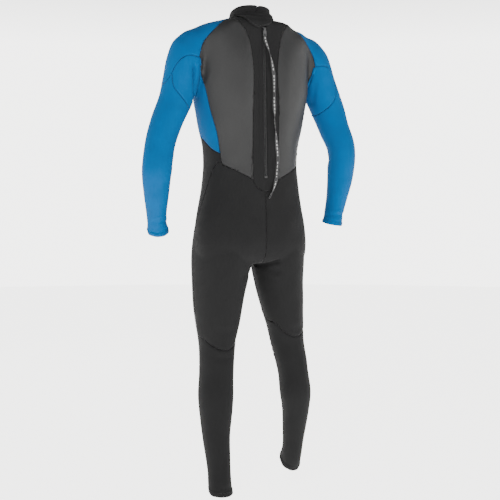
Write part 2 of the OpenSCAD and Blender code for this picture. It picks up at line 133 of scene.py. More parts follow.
# Seams seen from behind or in front (x, z), for the wearer's left.
GREY_INNER = [[84, -24], [60, -58], [46, -98], [40, -135], [40, -300], [40, -478]]
GREY_LOWER = [[40, -478], [84, -456], [118, -437]]
GREY_OUTER = [[118, -437], [128, -370], [146, -300], [161, -232], [173, -183], [184, -143]]
GREY_UPPER = [[184, -143], [174, -106], [146, -68], [100, -30], [84, -24]]
CHEST_OUTER = [[138, -345], [150, -290], [160, -225], [170, -170], [160, -128], [132, -84],
               [90, -44], [62, -24]]
YOKE_LOWER = [[184, -143], [225, -141], [248, -166], [257, -188], [270, -213], [330, -232]]
GUSSET_LOWER = [[257, -188], [255, -226], [238, -252], [220, -270], [190, -300]]
ARMPIT = [176, -258]
ARM_SIDE = [[176, -258], [196, -320], [215, -420], [215, -700]]
FLAP = [[-51, 0], [0, 0], [28, -2], [50, -7], [62, -15], [59, -27], [49, -40], [36, -50],
        [21, -55], [8, -51.5], [-3, -48], [-14, -43.5], [-26, -35], [-40, -25], [-51, -9]]
# Seams seen from the side (y, z).
SIDE_LOWER = [[-150, -310], [-13, -361], [50, -402], [150, -420]]
SIDE_SEAM = [[150, -430], [45, -437], [25, -485], [0, -556], [-20, -601], [-22, -700],
             [-22, -745]]
ABDOMEN_LOWER, KNEE_TOP, KNEE_LOW = -735, -862, -1012
KNEE_BACK = [[-130, 50], [-62, 45], [-50, 31], [-38, 17], [-20, 5], [0, 0], [20, 5],
             [38, 17], [50, 31], [62, 45], [130, 50]]      # from each knee's centre
KNEE_BACK_LEFT, KNEE_BACK_RIGHT = -963, -934
FAR = 900

# Creases: points on or near the surface, depth, half width.
CREASES = [
    ([(-15, 98, -120), (-19, 102, -190), (-21, 106, -290), (-17, 107, -380),
      (-9, 106, -440)], 7.0, 5),
    ([(15, 96, -110), (18, 101, -200), (18, 104, -300), (14, 106, -400),
      (8, 105, -455)], 4.0, 5),
    ([(2, 104, -476), (4, 100, -520), (2, 104, -600), (0, 95, -700)], 1.6, 8),
    ([(-2, 62, -728), (-30, 76, -737), (-62, 84, -742)], 4.0, 8),
    ([(6, 62, -728), (30, 78, -738), (55, 88, -752)], 2.4, 9),
    ([(52, 84, -768), (66, 88, -790), (70, 80, -812)], 1.8, 9),
    ([(28, 66, -752), (38, 70, -776), (38, 62, -800)], 1.5, 8),
    ([(165, 60, -176), (178, 48, -215), (184, 30, -250)], 2.5, 7),
    ([(-168, 60, -176), (-180, 50, -215), (-188, 30, -246)], 2.5, 7),
    ([(252, -32, -405), (262, -30, -430), (290, -26, -440)], 1.6, 9),
    ([(250, 10, -418), (262, 34, -440), (290, 60, -452)], 1.1, 9),
    ([(-244, 40, -400), (-262, 8, -418), (-290, -2, -420)], 1.6, 9),
    ([(70, 62, -905), (105, 62, -912), (140, 48, -905)], 1.4, 9),
    ([(-80, 62, -900), (-115, 66, -910), (-150, 52, -902)], 1.4, 9),
    ([(70, 40, -975), (105, 54, -985), (140, 40, -978)], 1.1, 9),
    ([(130, 60, -405), (110, 84, -432), (80, 98, -440)], 1.0, 10),
    ([(60, 100, -560), (30, 106, -590), (8, 104, -600)], 0.8, 11),
    ([(248, -26, -596), (262, 6, -600), (285, 18, -598), (306, -6, -600)], 2.4, 5),
    ([(250, -36, -604), (272, -52, -610), (296, -40, -606)], 2.0, 5),
    ([(-240, 10, -574), (-256, 46, -578), (-284, 46, -576), (-294, 20, -574)], 2.4, 5),
    ([(92, 66, -1338), (112, 86, -1344), (138, 78, -1342)], 1.0, 5),
    ([(-130, -30, -1300), (-146, -4, -1304), (-170, -12, -1302)], 1.2, 6)]
# Folds on the rear, seen from behind (x, z): armpits, crotch, knees. Depth, half width.
FOLDS = [([(201, -152), (198, -190), (193, -225), (186, -264)], 13, 5),
         ([(-188, -178), (-190, -205), (-192, -235), (-195, -262)], 3.5, 6),
         ([(4, -732), (-10, -726), (-26, -719), (-46, -711), (-56, -708)], 6, 6),
         ([(2, -733), (14, -740), (34, -750), (62, -758)], 2.5, 8),
         ([(102 + x, KNEE_BACK_LEFT + z) for x, z in KNEE_BACK[1:-1]], 1.5, 4),
         ([(x - 119, KNEE_BACK_RIGHT + z) for x, z in KNEE_BACK[1:-1]], 1.5, 4)]
RIGHT_SHOULDER = [(-122, -7, 28), (-204, 7, 42)]       # x, rise, half width
# Limb ends: side, least x, centre, where the slant starts and is full, drop behind, flare
# in front.
ENDS = [(1, 60, (118, 54), -1300, -1362, 0.34, 2), (-1, 60, (-153, -38), -1250, -1325, 0.45, 5),
        (1, 215, (274, -30), -600, -626, 0.2, 1), (-1, 215, (-264, 22), -580, -606, 0.2, 1)]


# ---- small maths
def smooth_rows(rows, step):
    """Rows of numbers joined by one smooth curve, sampled about step apart."""
    p = np.array(rows, float)
    t = lengths_along(p[:, :3])
    slope = np.gradient(p, t, axis=0) if len(p) > 2 else np.tile((p[1] - p[0]) / t[1], (2, 1))
    s = np.linspace(0, t[-1], max(2, int(round(t[-1] / step)) + 1))
    i = np.clip(np.searchsorted(t, s, side="right") - 1, 0, len(t) - 2)
    h = (t[i + 1] - t[i])[:, None]
    u = (s - t[i])[:, None] / h
    return ((2 * u**3 - 3 * u**2 + 1) * p[i] + (u**3 - 2 * u**2 + u) * h * slope[i]
            + (3 * u**2 - 2 * u**3) * p[i + 1] + (u**3 - u**2) * h * slope[i + 1])


def lengths_along(p):
    """How far along a polyline each of its points lies."""
    return np.concatenate([[0], np.cumsum(np.linalg.norm(np.diff(p, axis=0), axis=1))])


def angles(n):
    return np.linspace(0, 2 * np.pi, n, endpoint=False)


def ease(low, high, x):
    t = np.clip((x - low) / (high - low), 0, 1)
    return t * t * (3 - 2 * t)


def units(v):
    return v / np.maximum(np.linalg.norm(v, axis=-1, keepdims=True), 1e-12)


def zip_y(z):
    return ZIP_TOP[0] + (ZIP_TOP[1] - z) * math.tan(ZIP_LEAN)


def on_zip(p):
    """From the zip's own frame (x, outward, up the zip) to the suit's frame."""
    c, s = math.cos(ZIP_LEAN), math.sin(ZIP_LEAN)
    p = np.asarray(p, float)
    return np.stack([p[..., 0], ZIP_TOP[0] + p[..., 1] * c - p[..., 2] * s,
                     ZIP_TOP[1] + p[..., 1] * s + p[..., 2] * c], axis=-1)


# ---- the body form
def furrow(z, back):
    """How deep the spine's furrow is: the zip lies straight in it."""
    along_zip = np.maximum(back - zip_y(z), 0) * ease(-510, -490, z)
    return along_zip + 5 * ease(-480, -560, z)


def torso_y(x, z, half, back):
    """How far behind the axis the back lies at x, for a ring of that width and depth."""
    c = np.clip(np.abs(x) / half, 0, 1) ** (1 / SQUARENESS)
    side = np.sqrt(1 - c * c) ** SQUARENESS * back
    return side - furrow(z, back) * ease(*FURROW, np.abs(x))


def bent(x, power):
    return np.sign(x) * np.abs(x) ** power


def torso_rings(n=128):
    rows = smooth_rows(TORSO, STATION_STEP)
    a = angles(n)
    c, s = bent(np.cos(a), SQUARENESS), bent(np.sin(a), SQUARENESS)
    z, half, back, front = (rows[:, k, None] for k in range(4))
    x = c * half
    y = np.where(s >= 0, s * back - furrow(z, back) * ease(*FURROW, np.abs(x)), s * front)
    return np.stack([x, y, z + 0 * c], axis=2)


def limb_frame(rows):
    d = units(np.gradient(rows[:, :3], axis=0))
    across = units(np.cross([0, 1, 0], -d))
    return d, across, np.cross(-d, across)


def limb_ring(row, across, back, turn, a, out=0.0):
    """Points round a limb at angles a, out millimetres outside its section."""
    u, v = np.cos(a) * (row[3] + out), np.sin(a) * (row[4] + out)
    return (row[:3] + across * (u * math.cos(turn) - v * math.sin(turn))[:, None]
            + back * (u * math.sin(turn) + v * math.cos(turn))[:, None])


def limb_rings(stations, side, turn, n=72):
    rows = smooth_rows(stations, STATION_STEP)
    d, across, back = limb_frame(rows)
    past = rows[-1].copy()
    past[:3] += d[-1] * 16
    a = angles(n)
    rings = [limb_ring(*f, turn, a) for f in zip(rows, across, back)]
    rings.append(limb_ring(past, across[-1], back[-1], turn, a))
    return np.array(rings) * [side, 1, 1]


def loft(rings):
    """Vertices and triangles of a closed skin through rings, with fans at its ends."""
    m, n = rings.shape[:2]
    v = np.concatenate([rings.reshape(-1, 3), rings[0].mean(0)[None], rings[-1].mean(0)[None]])
    j, k = np.arange(n), (np.arange(n) + 1) % n
    t = [np.stack([j * 0 + m * n, k, j], 1), np.stack([j * 0 + m * n + 1, (m - 1) * n + j,
                                                       (m - 1) * n + k], 1)]
    for i in range(m - 1):
        t += [np.stack([i * n + j, i * n + k, (i + 1) * n + k], 1),
              np.stack([i * n + j, (i + 1) * n + k, (i + 1) * n + j], 1)]
    return v, np.concatenate(t)


def joined(parts):
    v, t, base = [], [], 0
    for pv, pt in parts:
        v.append(pv)
        t.append(pt + base)
        base += len(pv)
    return np.concatenate(v), np.concatenate(t)


def mesh_of(name, v, faces, smooth=True):
    mesh = bpy.data.meshes.new(name)
    mesh.from_pydata((np.asarray(v) * MM).tolist(), [], [list(map(int, f)) for f in faces])
    mesh.validate()
    mesh.polygons.foreach_set("use_smooth", [smooth] * len(mesh.polygons))
    return mesh


def new_piece(name, data):
    obj = bpy.data.objects.new(name, data)
    bpy.context.scene.collection.objects.link(obj)
    return obj


def finished(name, shape, look, body, replaces=None, smooth=True):
    """A visible piece made from vertices and faces, with its material, riding on its body."""
    mesh = mesh_of(name, *shape, smooth)
    piece = new_piece(name, mesh)
    mesh.materials.append(MATS[look])
    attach(piece, body)
    if replaces:
        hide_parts(replaces)
    return piece


def thickened(piece, wall):
    mod = piece.modifiers.new("thickness", "SOLIDIFY")
    mod.thickness, mod.offset = wall * MM, -1


def remeshed(v, t, size):
    """The outer skin of overlapping closed shells, as even triangles."""
    obj = new_piece("form", mesh_of("form", v, t))
    mod = obj.modifiers.new("remesh", "REMESH")
    mod.mode, mod.voxel_size, mod.adaptivity = "VOXEL", size * MM, 0
    made = obj.evaluated_get(bpy.context.evaluated_depsgraph_get()).to_mesh()
    p = np.zeros(len(made.vertices) * 3)
    made.vertices.foreach_get("co", p)
    made.calc_loop_triangles()
    tri = np.zeros(len(made.loop_triangles) * 3, int)
    made.loop_triangles.foreach_get("vertices", tri)
    mesh = obj.data
    bpy.data.objects.remove(obj)
    bpy.data.meshes.remove(mesh)
    return p.reshape(-1, 3) / MM, tri.reshape(-1, 3)


def half_edges(t):
    """Every triangle's three edges, in its own direction."""
    return np.concatenate([t[:, [0, 1]], t[:, [1, 2]], t[:, [2, 0]]])


def edges_of(t):
    return np.unique(np.sort(half_edges(t), axis=1), axis=0, return_counts=True)


def averages(v, e, n):
    """The mean of each point's neighbours."""
    count = np.maximum(np.bincount(e.ravel(), minlength=n), 1)
    total = np.stack([np.bincount(e[:, 0], v[e[:, 1], k], n)
                      + np.bincount(e[:, 1], v[e[:, 0], k], n) for k in range(3)], 1)
    return total / count[:, None]


def normals(v, t):
    f = np.cross(v[t[:, 1]] - v[t[:, 0]], v[t[:, 2]] - v[t[:, 0]])
    n = np.zeros_like(v)
    for c in range(3):
        for k in range(3):
            n[:, k] += np.bincount(t[:, c], f[:, k], len(v))
    return units(n)


def smoothed(v, t, share, rounds, keep_volume):
    """Points moved towards their neighbours' mean, each by its own share."""
    e, _ = edges_of(t)
    share = np.broadcast_to(share, len(v))[:, None]
    for _ in range(rounds):
        v = v + 0.5 * share * (averages(v, e, len(v)) - v)
        if keep_volume:
            v = v - 0.53 * share * (averages(v, e, len(v)) - v)
    return v


def filled(v, t, zone, rounds=420):
    """Hollows on the upper side filled smoothly, with ridges nearly left alone."""
    faces = t[zone[t].all(1)]
    used, local = np.unique(faces, return_inverse=True)
    local = local.reshape(-1, 3)
    p = v[used].copy()
    e, count = edges_of(local)
    rim = np.zeros(len(p), bool)
    rim[e[count == 1].ravel()] = True
    for i in range(rounds):
        if i % 20 == 0:
            n = normals(p, local)
            share = ease(0.0, 0.5, n[:, 2]) * ~rim
        step = averages(p, e, len(p)) - p
        out = (step * n).sum(1)
        p = p + n * (share * np.where(out > 0, out, 0.12 * out))[:, None]
    v = v.copy()
    v[used] = p
    return v


def to_line(p, line):
    """Distance from points to a polyline, and how near the line's ends that is (0 to 1)."""
    line = np.array(line, float)
    best, place = np.full(len(p), np.inf), np.zeros(len(p))
    total = len(line) - 1
    for i in range(total):
        a, d = line[i], line[i + 1] - line[i]
        u = np.clip((p - a) @ d / (d @ d), 0, 1)
        dist = np.linalg.norm(p - a - u[:, None] * d, axis=1)
        near = dist < best
        best[near], place[near] = dist[near], (i + u[near]) / total
    return best, place


def slanted(p):
    """The ends of the limbs, drawn lower behind and a little flared."""
    q = p.copy()
    for side, least, (cx, cy), top, end, drop, flare in ENDS:
        near = (p[:, 0] * side > least) * ease(top, end, p[:, 2])
        back = p[:, 1] - cy
        q[:, 2] -= near * (back - 12 * drop / 0.45) * drop
        q[:, 1] -= near * flare * ease(10, -30, back)
        q[:, 0] += near * 0.07 * (p[:, 0] - cx)
    return q


def body_form():
    parts = [loft(torso_rings())]
    for _, rows, side, turn, _, _ in LIMBS:
        v, t = loft(limb_rings(rows, side, turn))
        parts.append((v, t if side > 0 else t[:, ::-1]))
    v, t = remeshed(*joined(parts), VOXEL)
    v = smoothed(v, t, 1.0, 6, True)
    shoulder = np.exp(-(np.linalg.norm((v - SHOULDER) * [0, 0.8, 1], axis=1) ** 2
                        + (np.abs(v[:, 0]) - SHOULDER[0]) ** 2) / SHOULDER_REACH**2)
    v = filled(v, t, (v[:, 2] > -150) & (np.abs(v[:, 0]) > 84) & (np.abs(v[:, 0]) < 236))
    crotch = np.linalg.norm((v - CROTCH) * [1.2, 0.6, 1], axis=1)
    crotch = np.exp(-(crotch / CROTCH_REACH) ** 2)
    v = smoothed(v, t, np.clip(1.6 * shoulder, 0, 1), 60, False)
    v = smoothed(v, t, np.clip(1.4 * crotch, 0, 1), 14, False)
    # The back lies exactly on the zip's line where the zip is sewn in.
    rows = smooth_rows(TORSO, 4)[::-1]
    half, back = (np.interp(v[:, 2], rows[:, 0], rows[:, k]) for k in (1, 2))
    x = np.abs(v[:, 0])
    hold = ((v[:, 1] > 30) * ease(*HOLD, x) * ease(-560, -500, v[:, 2])
            * ease(-14, -30, v[:, 2]))
    v[:, 1] += hold * (torso_y(v[:, 0], v[:, 2], half, back) - v[:, 1])
    n = normals(v, t)
    push = np.zeros(len(v))
    for line, depth, wide in CREASES:
        dist, place = to_line(v, smooth_rows(line, 12))
        fade = np.sin(np.pi * np.clip(place, 0.02, 0.98)) ** 0.6
        push += depth * fade * (0.45 * np.exp(-((dist - 2.1 * wide) / wide) ** 2)
                                - np.exp(-(dist / wide) ** 2))
    for _ in range(WAVES):
        way, phase = units(rng.normal(size=3)), rng.uniform(0, 2 * np.pi)
        push += WAVE_DEPTH * np.sin(v @ way * 2 * np.pi / rng.uniform(60, 150) + phase)
    for line, depth, wide in FOLDS:
        dist, place = to_line(v[:, [0, 2]], smooth_rows(line, 6))
        fade = (v[:, 1] > 5) * ease(0, 0.25, place) * ease(1, 0.8, place)
        push -= depth * fade * np.exp(-(dist / wide) ** 2)
    near_zip = (v[:, 1] > 60) * ease(26, 10, x) * ease(-500, -470, v[:, 2])
    push *= 1 - 0.9 * near_zip
    v = v + n * push[:, None]
    # The right shoulder hangs straighter: lower beside the neck, fuller over the arm.
    for x, rise, wide in RIGHT_SHOULDER:
        v[:, 2] += rise * np.exp(-((v[:, 0] - x) / wide) ** 2) * ease(-190, -120, v[:, 2])
    return v, t


# ---- cutting along seams
def plane(axis, at, keep):
    """Keeps the side of a plane across an axis where keep * (p - at) > 0."""
    def field(p):
        target = p.copy()
        target[:, axis] = at
        return keep * (p[:, axis] - at), target
    return field


def tilted(point, way):
    """Keeps the side of a plane that way points to."""
    point, way = np.array(point, float), units(np.array(way, float))

    def field(p):
        f = (p - point) @ way
        return f, p - f[:, None] * way
    return field


def outline(points, axes=(0, 2), mirror=1):
    """Keeps what lies inside an outline drawn across two axes."""
    poly = np.array(points, float)
    poly[:, 0] *= mirror if axes[0] == 0 else 1
    a, b = poly, np.roll(poly, -1, axis=0)
    d = b - a
    size = np.maximum((d * d).sum(1), 1e-9)

    def field(p):
        q = p[:, axes]
        f, target = np.full(len(p), -99.0), p.copy()
        near = ((q > poly.min(0) - 20) & (q < poly.max(0) + 20)).all(1)
        for part in np.array_split(np.flatnonzero(near), max(1, near.sum() // 6000)):
            w = q[part][:, None] - a
            u = np.clip((w * d).sum(2) / size, 0, 1)
            off = w - u[..., None] * d
            dist = np.linalg.norm(off, axis=2)
            i = dist.argmin(1)
            k = np.arange(len(part))
            y = q[part][:, 1, None]
            over = (a[:, 1] > y) != (b[:, 1] > y)
            rise = np.where(np.abs(d[:, 1]) < 1e-9, 1e-9, d[:, 1])
            cross = a[:, 0] + (y - a[:, 1]) * d[:, 0] / rise
            odd = (over & (q[part][:, 0, None] < cross)).sum(1) % 2
            f[part] = np.where(odd == 1, dist[k, i], -dist[k, i])
            spot = q[part] - off[k, i]
            target[part, axes[0]], target[part, axes[1]] = spot[:, 0], spot[:, 1]
        return f, target
    return field


class Skin:
    """A triangle mesh whose faces carry the number of their panel; 0 is not yet cut out."""

    def __init__(self, v, t):
        self.v, self.t = v, t
        self.panel = np.zeros(len(t), int)
        self.names = ["rest"]
        self.fixed = np.zeros(len(v), bool)

    def cut(self, field, active):
        """Splits the active faces along the field's zero line."""
        f, target = field(self.v)
        used = np.zeros(len(self.v), bool)
        used[self.t[active].ravel()] = True
        move = used & ~self.fixed & (np.abs(f) < 1.3)
        self.v[move] = target[move]
        f[move | (self.fixed & (np.abs(f) < 0.5))] = 0
        t, size = self.t, len(self.v)
        e, _ = edges_of(t[active])
        e = e[f[e[:, 0]] * f[e[:, 1]] < 0]
        share = (f[e[:, 0]] / (f[e[:, 0]] - f[e[:, 1]]))[:, None]
        near, far = self.v[e[:, 0]], self.v[e[:, 1]]
        self.v = np.concatenate([self.v, near + share * (far - near)])
        self.fixed = np.concatenate([self.fixed, np.ones(len(e), bool)])
        self.fixed[:size] |= used & (f == 0)
        key = e[:, 0] * size + e[:, 1]
        order = np.argsort(key)
        key = key[order]

        def middle(a, b):
            k = np.minimum(a, b) * size + np.maximum(a, b)
            if not len(key):
                return np.full(len(k), -1)
            i = np.minimum(np.searchsorted(key, k), len(key) - 1)
            return np.where(key[i] == k, size + order[i], -1)
        mids = np.stack([middle(t[:, i], t[:, (i + 1) % 3]) for i in range(3)], 1)
        count = (mids >= 0).sum(1)
        new, who = [t[count == 0]], [self.panel[count == 0]]

        def add(rows, *tris):
            for tri in tris:
                new.append(np.stack(tri, 1))
                who.append(self.panel[rows])
        for i in range(3):
            j, k = (i + 1) % 3, (i + 2) % 3
            r = np.flatnonzero((count == 1) & (mids[:, i] >= 0))
            a, b, c, p = t[r, i], t[r, j], t[r, k], mids[r, i]
            add(r, (a, p, c), (p, b, c))
            r = np.flatnonzero((count == 2) & (mids[:, k] < 0))
            a, b, c, p, q = t[r, i], t[r, j], t[r, k], mids[r, i], mids[r, j]
            add(r, (p, b, q), (a, p, q), (a, q, c))
        r = np.flatnonzero(count == 3)
        a, b, c = t[r].T
        p, q, s = mids[r].T
        add(r, (a, p, s), (p, b, q), (s, q, c), (p, q, s))
        self.t, self.panel = np.concatenate(new), np.concatenate(who)

    def carve(self, name, *fields):
        """Cuts a panel out of what is left: the faces where every field is above zero."""
        for field in fields:
            others = [g(self.v)[0] for g in fields if g is not field]
            low = np.min(others, axis=0) if others else np.full(len(self.v), 9.0)
            self.cut(field, (self.panel == 0) & (low[self.t].max(1) > -1))
        middle = self.v[self.t].mean(1)
        inside = (self.panel == 0) & (np.min([g(middle)[0] for g in fields], axis=0) > 0)
        self.panel[inside] = len(self.names)
        self.names.append(name)

    def only(self, keep):
        self.t, self.panel = self.t[keep], self.panel[keep]

    def discard(self, *fields):
        """Cuts away the faces where every field is above zero."""
        self.carve("gone", *fields)
        self.only(self.panel != len(self.names) - 1)

    def settle(self):
        """Gives stray uncut faces to a neighbour's panel."""
        for _ in range(30):
            if not (self.panel == 0).any():
                return
            owner = np.zeros(len(self.v), int)
            done = self.panel > 0
            owner[self.t[done].ravel()] = np.repeat(self.panel[done], 3)
            take = owner[self.t].max(1)
            self.panel = np.where(self.panel == 0, take, self.panel)


def limb_end(stations, side, back_by):
    """The point and direction of a limb's last section, back_by before its end."""
    rows = smooth_rows(stations, STATION_STEP)
    d = limb_frame(rows)[0][-1]
    return (rows[-1][:3] - d * back_by) * [side, 1, 1], d * [side, 1, 1]


def curve(*parts):
    return np.concatenate([smooth_rows(p, SEAM_STEP) for p in parts])


def mirrored(points):
    return np.array(points, float)[::-1] * [-1, 1]


def cut_panels(skin):
    rear, fore = plane(1, 0, 1), plane(1, 0, -1)
    slope = math.tan(math.radians(COLLAR_SLOPE))
    skin.discard(tilted((0, 50, COLLAR_TOP), (0, -slope, 1)))
    for _, rows, side, _, h, least in LIMBS:
        at, way = limb_end(rows, side, h - 4)
        skin.discard(tilted(at, way), plane(0, least * side, side), plane(2, at[2] + 70, -1))
    for half, low in ((COLLAR_SLIT / 2, COLLAR_SEAM), (SLOT_HALF, ZIP_BOTTOM[1])):
        skin.discard(plane(0, -half, 1), plane(0, half, -1), plane(2, low, 1), plane(1, 10, 1))
        if low == COLLAR_SEAM:
            skin.carve("collar", plane(2, COLLAR_SEAM, 1))
    u_end = curve(GREY_INNER, [[40, -478], [33, -496], [18, -508], [0, -512]])
    centre = np.concatenate([[[70, 0]], u_end, mirrored(u_end), [[-70, 0]]])
    skin.carve("centre_back_panel", outline(centre), rear)
    grey = curve(GREY_INNER, GREY_LOWER, GREY_OUTER, GREY_UPPER)
    for tag, side in SIDES:
        skin.carve("back_panel_" + tag, outline(grey, mirror=side), rear)
    chest = curve([[0, -352], [80, -350], [138, -345]], CHEST_OUTER)
    skin.carve("chest_panel", outline(np.concatenate([chest, mirrored(chest)])), fore)
    for tag, side in SIDES:
        top, gusset_edge = curve(YOKE_LOWER), curve(GUSSET_LOWER)
        yoke = np.concatenate([[[0, 30], [0, -143]], top, [[FAR, -232], [FAR, 30]]])
        skin.carve("shoulder_" + tag, outline(yoke, mirror=side))
        gusset = np.concatenate([top[top[:, 0] < 257], gusset_edge, [ARMPIT, [176, -200]]])
        skin.carve("gusset_" + tag, outline(gusset, mirror=side))
        sleeve = np.concatenate([curve(ARM_SIDE)[8:], [[FAR, -700], [FAR, -232]],
                                 top[top[:, 0] > 257][::-1], gusset_edge])
        skin.carve("sleeve_" + tag, outline(sleeve, mirror=side))
        upper = np.concatenate([curve(SIDE_LOWER),
                                [[300, -420], [300, -100], [-300, -100], [-300, -310]]])
        skin.carve("side_panel_" + tag, outline(upper, (1, 2)), plane(0, 0, side))
    for tag, side, rows in (("left", 1, LEG_LEFT), ("right", -1, LEG_RIGHT)):
        low = [[s[1] - 12, s[2]] for s in rows if s[2] < -745]
        seam = np.concatenate([curve(SIDE_SEAM, low),
                               [[rows[-1][1], -1500], [FAR, -1500], [FAR, -430]]])
        half, rear_leg = plane(0, 0, side), outline(seam, (1, 2))
        knee_x = np.interp(940, [-r[2] for r in rows], [r[0] for r in rows])
        low = KNEE_BACK_LEFT if side > 0 else KNEE_BACK_RIGHT
        knee = curve(KNEE_BACK) + [knee_x, low]
        above = np.concatenate([knee, [[400, FAR], [-60, FAR]]])
        skin.carve("seat_" + tag, rear_leg, outline(above, mirror=side), half)
        skin.carve("calf_" + tag, rear_leg, plane(2, KNEE_TOP, -1), half)
    skin.carve("abdomen_panel", plane(2, ABDOMEN_LOWER, 1))
    for tag, side in SIDES:
        half = plane(0, 0, side)
        skin.carve("thigh_front_" + tag, plane(2, KNEE_TOP, 1), half)
        skin.carve("knee_pad_" + tag, plane(2, KNEE_LOW, 1), half)
        skin.carve("shin_" + tag, half)
    skin.settle()
    skin.v = slanted(skin.v)


def seam_edges(skin):
    """The edges between two panels or along an open edge, and their two panels."""
    e = np.sort(half_edges(skin.t), axis=1)
    who = np.tile(skin.panel, 3)
    order = np.lexsort((e[:, 1], e[:, 0]))
    e, who = e[order], who[order]
    same = np.flatnonzero((e[1:] == e[:-1]).all(1))
    paired = np.zeros(len(e), bool)
    paired[same], paired[same + 1] = True, True
    differ = same[who[same] != who[same + 1]]
    open_rows = np.flatnonzero(~paired)
    edges = np.concatenate([e[differ], e[open_rows]])
    sides = np.concatenate([np.stack([who[differ], who[differ + 1]], 1),
                            np.stack([who[open_rows], who[open_rows] * 0 - 1], 1)])
    return edges, sides


def tidy_seams(skin):
    """Evens out the points along seams and the faces beside them."""
    v, t = skin.v, skin.t
    edges, _ = seam_edges(skin)
    count = np.bincount(edges.ravel(), minlength=len(v))
    slide = (count == 2)[:, None]
    for _ in range(6):
        v = np.where(slide, v + 0.45 * (averages(v, edges, len(v)) - v), v)
    on_seam = count > 0
    e, _ = edges_of(t)
    level = np.where(on_seam, 0, 9)
    for k in (1, 2, 3):
        for a, b in ((0, 1), (1, 0)):
            np.minimum.at(level, e[:, a], np.where(level[e[:, b]] == k - 1, k, 9))
    free = ((level > 0) & (level < 4))[:, None]
    for _ in range(10):
        n = normals(v, t)
        step = averages(v, e, len(v)) - v
        step -= n * (step * n).sum(1)[:, None]
        v = np.where(free, v + 0.5 * step, v)
    skin.v = v
    return on_seam


# ---- materials
RANGE = ("From Min", "From Max", "To Min", "To Max")


class Nodes:
    """A short way to build a principled material."""

    def __init__(self, name, colour, rough, **fixed):
        self.base = colour
        self.mat = bpy.data.materials.new(name)
        self.mat.use_nodes = True
        self.tree = self.mat.node_tree
        self.shader = self.tree.nodes["Principled BSDF"]
        self.shader.inputs["Base Color"].default_value = (*colour, 1)
        self.shader.inputs["Roughness"].default_value = rough
        for key, value in fixed.items():
            self.shader.inputs[key.replace("_", " ")].default_value = value
        self.place = self.add("ShaderNodeTexCoord").outputs["Object"]

    def add(self, kind, **settings):
        node = self.tree.nodes.new(kind)
        for key, value in settings.items():
            setattr(node, key, value)
        return node

    def link(self, a, b):
        self.tree.links.new(a, b)

    def texture(self, kind, scale, turn=None, detail=None, **settings):
        """A texture's value, laid out in the object's own space."""
        node = self.add("ShaderNodeTex" + kind, **settings)
        node.inputs["Scale"].default_value = scale
        if detail:
            node.inputs["Detail"].default_value = detail
        source = self.place
        if turn is not None:
            mapping = self.add("ShaderNodeMapping")
            mapping.inputs["Rotation"].default_value = turn
            self.link(source, mapping.inputs["Vector"])
            source = mapping.outputs["Vector"]
        self.link(source, node.inputs["Vector"])
        return node.outputs["Distance" if kind == "Voronoi" else "Fac"]

    def maths(self, how, a, b):
        node = self.add("ShaderNodeMath", operation=how)
        for i, x in enumerate((a, b)):
            if isinstance(x, (int, float)):
                node.inputs[i].default_value = x
            else:
                self.link(x, node.inputs[i])
        return node.outputs[0]

    def times(self, a, b):
        return self.maths("MULTIPLY", a, b)

    def plus(self, a, b):
        return self.maths("ADD", a, b)

    def spread(self, value, low, high, to_low, to_high):
        node = self.add("ShaderNodeMapRange")
        self.link(value, node.inputs["Value"])
        for key, x in zip(RANGE, (low, high, to_low, to_high)):
            node.inputs[key].default_value = x
        return node.outputs["Result"]

    def mixed(self, share, a, b):
        node = self.add("ShaderNodeMix", data_type="RGBA")
        self.link(share, node.inputs["Factor"])
        for key, x in ((6, a), (7, b)):
            if isinstance(x, tuple):
                node.inputs[key].default_value = (*x, 1)
            else:
                self.link(x, node.inputs[key])
        return node.outputs[2]

    def bump(self, height, strength, distance):
        node = self.add("ShaderNodeBump")
        node.inputs["Strength"].default_value = strength
        node.inputs["Distance"].default_value = distance
        self.link(height, node.inputs["Height"])
        self.link(node.outputs["Normal"], self.shader.inputs["Normal"])

    def tones(self, value, low, high, dark, light):
        """The base colour, from dark to light times the first one."""
        share = self.spread(value, low, high, 0, 1)
        tones = [shade(self.base, k) for k in (dark, light)]
        self.link(self.mixed(share, *tones), self.shader.inputs["Base Color"])

    def rough(self, value, low, high, least, most):
        self.link(self.spread(value, low, high, least, most), self.shader.inputs["Roughness"])


def shade(c, k):
    return tuple(min(1.0, x * k) for x in c)


def knit(name, colour, sheen=0.015):
    """Nylon jersey on neoprene: fine ribs, a soft mottle and a little fuzz."""
    m = Nodes(name, colour, 0.82, Sheen_Weight=sheen, Sheen_Roughness=0.45,
              Specular_IOR_Level=0.08)
    mottle = m.texture("Noise", 26.0, detail=4)
    loops = m.times(m.texture("Wave", 420.0, bands_direction="X"),
                    m.texture("Wave", 420.0, bands_direction="Z"))
    m.tones(m.plus(m.times(mottle, 0.7), m.times(loops, 0.3)), 0.2, 0.75, 0.88, 1.13)
    m.rough(mottle, 0.3, 0.7, 0.76, 0.9)
    m.bump(m.plus(loops, m.times(m.texture("Noise", 1400.0), 0.6)), 0.35, 0.00035)
    return m.mat


def mesh_skin(name, colour):
    """Smooth-skin rubber with a fine crossed emboss, satin, slightly cloudy."""
    m = Nodes(name, colour, 0.5, Specular_IOR_Level=0.2, Coat_Weight=0.03,
              Coat_Roughness=0.45)
    cloud = m.texture("Noise", 9.0)
    grid = m.times(m.texture("Wave", 300.0, turn=(0, 0.79, 0), bands_direction="X"),
                   m.texture("Wave", 300.0, turn=(0, -0.79, 0), bands_direction="X"))
    m.tones(m.plus(m.times(cloud, 0.8), m.times(grid, 0.3)), 0.25, 0.8, 0.86, 1.14)
    m.rough(m.plus(cloud, m.texture("Noise", 300.0)), 0.7, 1.3, 0.42, 0.58)
    m.bump(grid, 0.3, 0.0003)
    return m.mat


